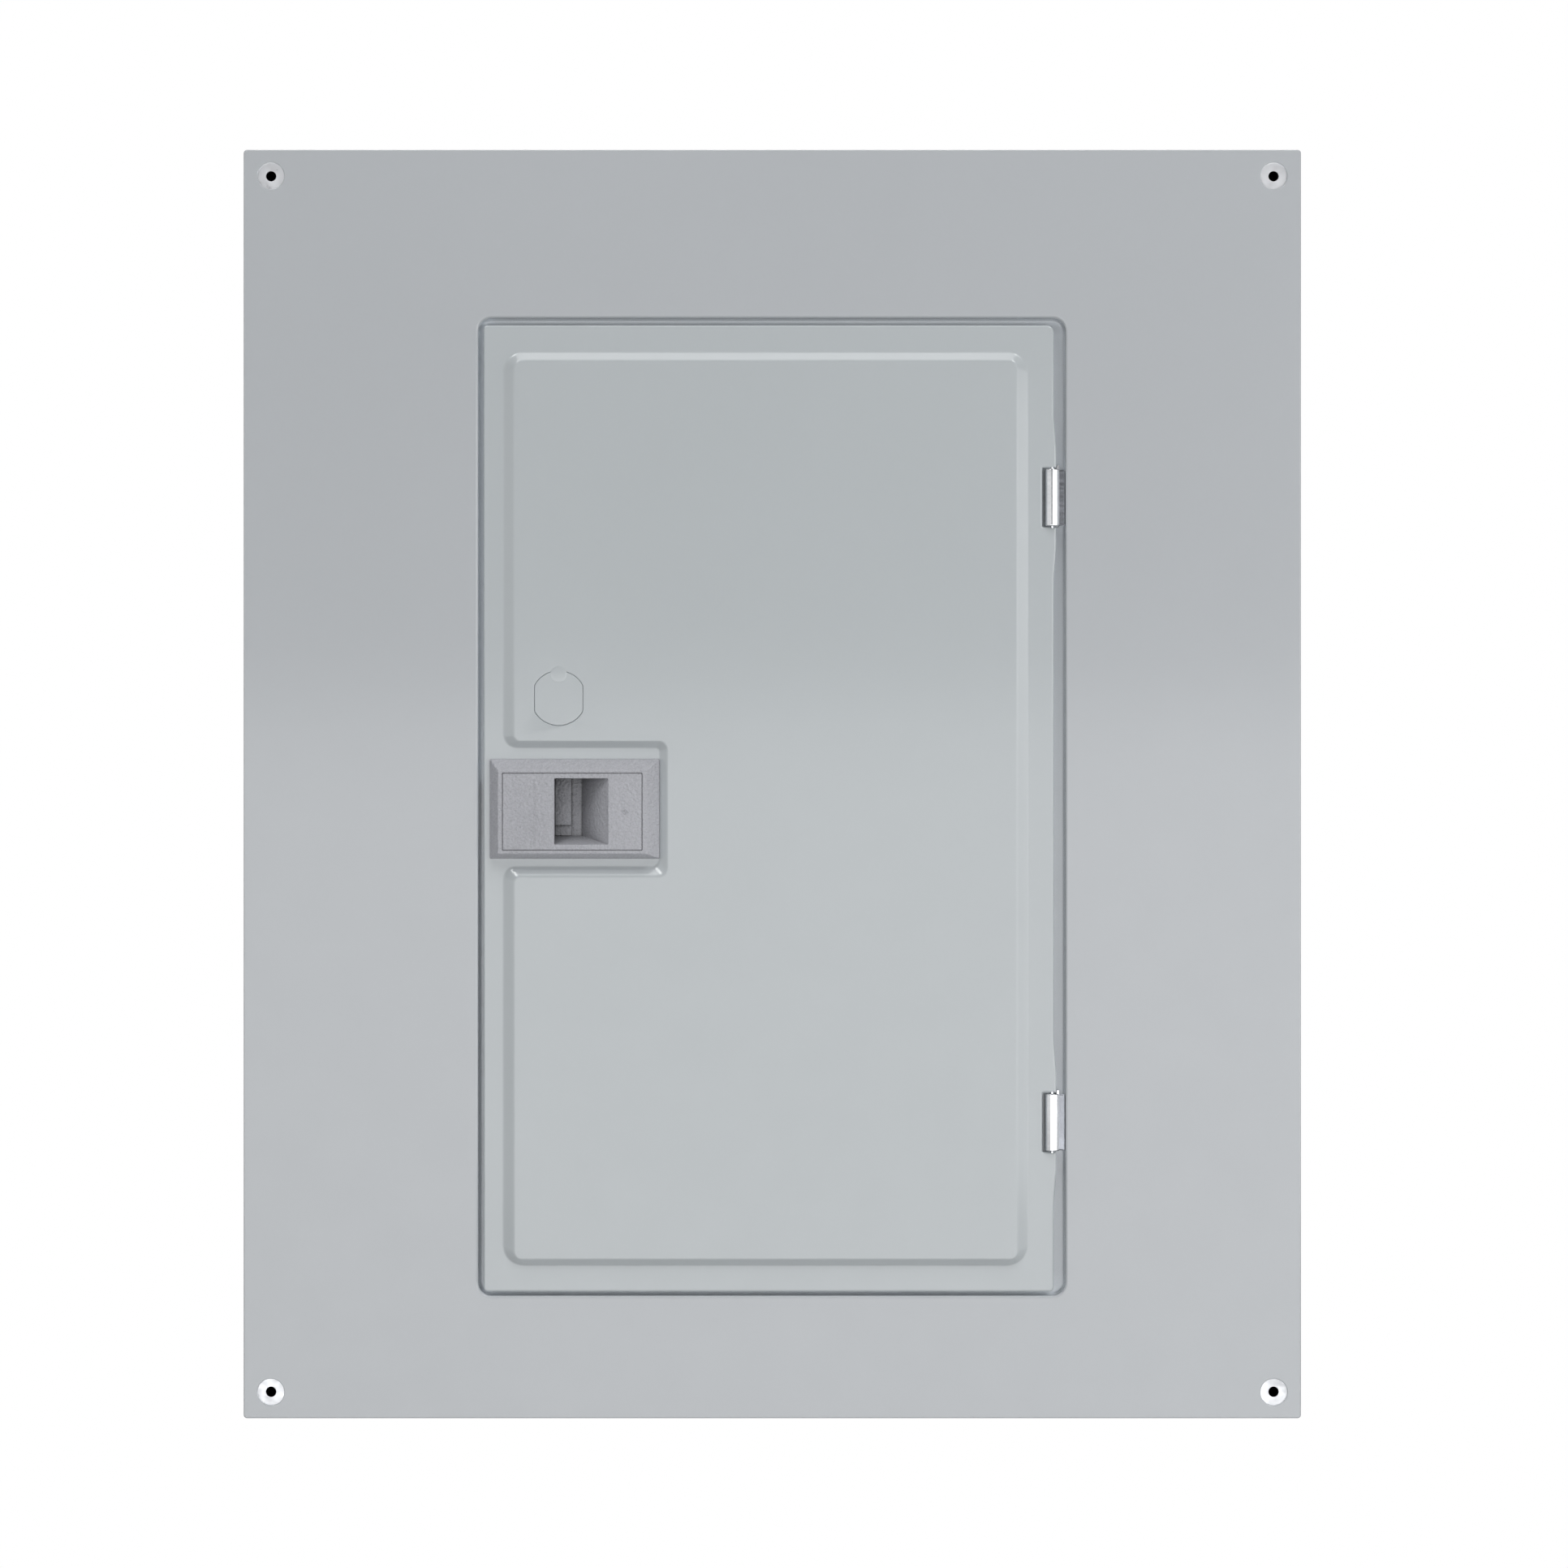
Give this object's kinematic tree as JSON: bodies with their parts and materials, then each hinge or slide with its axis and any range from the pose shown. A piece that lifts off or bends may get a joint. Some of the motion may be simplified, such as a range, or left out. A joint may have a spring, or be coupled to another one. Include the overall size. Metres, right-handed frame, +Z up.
{
  "type": "residential load center",
  "caption": "Wall-mounted electrical panel: sheet-steel box and cover with a hinged, latched door over a main breaker, branch breakers, bus bars, neutral and ground bars.",
  "frame": {"origin": "centre of the box's back face, where it meets the wall", "axes": "+Z up, -Y out of the wall towards the person, +X to the right seen from the front"},
  "size_m": [0.362, 0.101, 0.4344],
  "materials": {
    "cover_paint": "satin grey enamel with a fine orange peel",
    "door_paint": "satin grey enamel, slightly greener than the cover",
    "box_paint": "satin grey enamel",
    "inner_paint": "satin grey enamel",
    "latch_plastic": "moulded grey plastic with a pebble texture",
    "retainer_plastic": "moulded dark plastic",
    "filler_plastic": "moulded dark plastic",
    "insulator_plastic": "moulded phenolic",
    "breaker_plastic": "black phenolic moulding",
    "handle_plastic": "black moulded handle",
    "bright_plate": "bright plating with fine drawn streaks",
    "zinc": "bright zinc plate",
    "galvanised": "galvanised sheet",
    "spring_steel": "bright spring wire",
    "bus_copper": "bare copper, slightly tarnished",
    "bar_aluminium": "extruded aluminium",
    "green_screw": "green dyed plating",
    "card": "printed card stock"
  },
  "bodies": {
    "panel": {"enclosure": "box_paint", "box_knockouts": "box_paint", "corner_brackets": "zinc", "cover": "cover_paint", "dead_front": "inner_paint", "dead_front_screws": "zinc", "filler_plates": "filler_plastic", "hinge_strap_upper": "bright_plate", "hinge_strap_lower": "bright_plate", "mounting_pan": "galvanised", "interior_screws": "zinc", "bus_insulator": "insulator_plastic", "bus_bar_a": "bus_copper", "bus_bar_b": "bus_copper", "breaker_rail_left": "galvanised", "breaker_rail_right": "galvanised", "neutral_bar_left": "bar_aluminium", "neutral_bar_right": "bar_aluminium", "neutral_insulators": "insulator_plastic", "neutral_strap": "bar_aluminium", "neutral_lug": "bar_aluminium", "neutral_screws": "zinc", "bonding_screw": "green_screw", "ground_bar": "bar_aluminium", "ground_screws": "zinc", "main_breaker_case": "breaker_plastic", "main_lugs": "bar_aluminium", "main_lug_screws": "zinc", "breaker_terminal_screws": "zinc", "breaker_1_case": "breaker_plastic", "breaker_2_case": "breaker_plastic", "breaker_3_case": "breaker_plastic", "breaker_4_case": "breaker_plastic", "breaker_5_case": "breaker_plastic", "breaker_6_case": "breaker_plastic", "breaker_7_case": "breaker_plastic", "breaker_8_case": "breaker_plastic", "breaker_9_case": "breaker_plastic", "breaker_10_case": "breaker_plastic"},
    "door": {"door": "door_paint", "lock_knockout": "door_paint", "hinge_pin_upper": "bright_plate", "hinge_pin_lower": "bright_plate", "latch_bezel": "latch_plastic", "latch_spring": "spring_steel", "latch_retainer": "retainer_plastic", "directory_card": "card"},
    "latch_slider": {"latch_slider": "latch_plastic"},
    "main_handle": {"main_breaker_handle": "handle_plastic"},
    "handle_1": {"breaker_1_handle": "handle_plastic"},
    "handle_2": {"breaker_2_handle": "handle_plastic"},
    "handle_3": {"breaker_3_handle": "handle_plastic"},
    "handle_4": {"breaker_4_handle": "handle_plastic"},
    "handle_5": {"breaker_5_handle": "handle_plastic"},
    "handle_6": {"breaker_6_handle": "handle_plastic"},
    "handle_7": {"breaker_7_handle": "handle_plastic"},
    "handle_8": {"breaker_8_handle": "handle_plastic"},
    "handle_9": {"breaker_9_handle": "handle_plastic"},
    "handle_10": {"breaker_10_handle": "handle_plastic"}
  },
  "joints": [
    {"name": "door_hinge", "type": "hinge", "parent": "panel", "child": "door", "pos_m": [0.0958, -0.0957, 0], "axis": [0, 0, 1], "range_deg": [0, 110]},
    {"name": "latch_slide", "type": "slide", "parent": "door", "child": "latch_slider", "axis": [1, 0, 0], "range_m": [0, 0.0035], "stiffness_N_per_m": 600, "springref_m": -0.002, "deforming": ["latch_spring"]},
    {"name": "main_handle_pivot", "type": "hinge", "parent": "panel", "child": "main_handle", "pos_m": [0, -0.077, 0.106], "axis": [1, 0, 0], "range_deg": [0, 40]},
    {"name": "handle_1_pivot", "type": "hinge", "parent": "panel", "child": "handle_1", "pos_m": [-0.029, -0.0765, 0.04295], "axis": [0, 0, -1], "range_deg": [0, 40]},
    {"name": "handle_2_pivot", "type": "hinge", "parent": "panel", "child": "handle_2", "pos_m": [-0.029, -0.0765, 0.01438], "axis": [0, 0, -1], "range_deg": [0, 40]},
    {"name": "handle_3_pivot", "type": "hinge", "parent": "panel", "child": "handle_3", "pos_m": [-0.029, -0.0765, -0.00468], "axis": [0, 0, -1], "range_deg": [0, 40]},
    {"name": "handle_4_pivot", "type": "hinge", "parent": "panel", "child": "handle_4", "pos_m": [-0.029, -0.0765, -0.02372], "axis": [0, 0, -1], "range_deg": [0, 40]},
    {"name": "handle_5_pivot", "type": "hinge", "parent": "panel", "child": "handle_5", "pos_m": [-0.029, -0.0765, -0.04278], "axis": [0, 0, -1], "range_deg": [0, 40]},
    {"name": "handle_6_pivot", "type": "hinge", "parent": "panel", "child": "handle_6", "pos_m": [0.029, -0.0765, 0.04295], "axis": [0, 0, 1], "range_deg": [0, 40]},
    {"name": "handle_7_pivot", "type": "hinge", "parent": "panel", "child": "handle_7", "pos_m": [0.029, -0.0765, 0.01438], "axis": [0, 0, 1], "range_deg": [0, 40]},
    {"name": "handle_8_pivot", "type": "hinge", "parent": "panel", "child": "handle_8", "pos_m": [0.029, -0.0765, -0.00468], "axis": [0, 0, 1], "range_deg": [0, 40]},
    {"name": "handle_9_pivot", "type": "hinge", "parent": "panel", "child": "handle_9", "pos_m": [0.029, -0.0765, -0.02372], "axis": [0, 0, 1], "range_deg": [0, 40]},
    {"name": "handle_10_pivot", "type": "hinge", "parent": "panel", "child": "handle_10", "pos_m": [0.029, -0.0765, -0.04278], "axis": [0, 0, 1], "range_deg": [0, 40]}
  ]
}
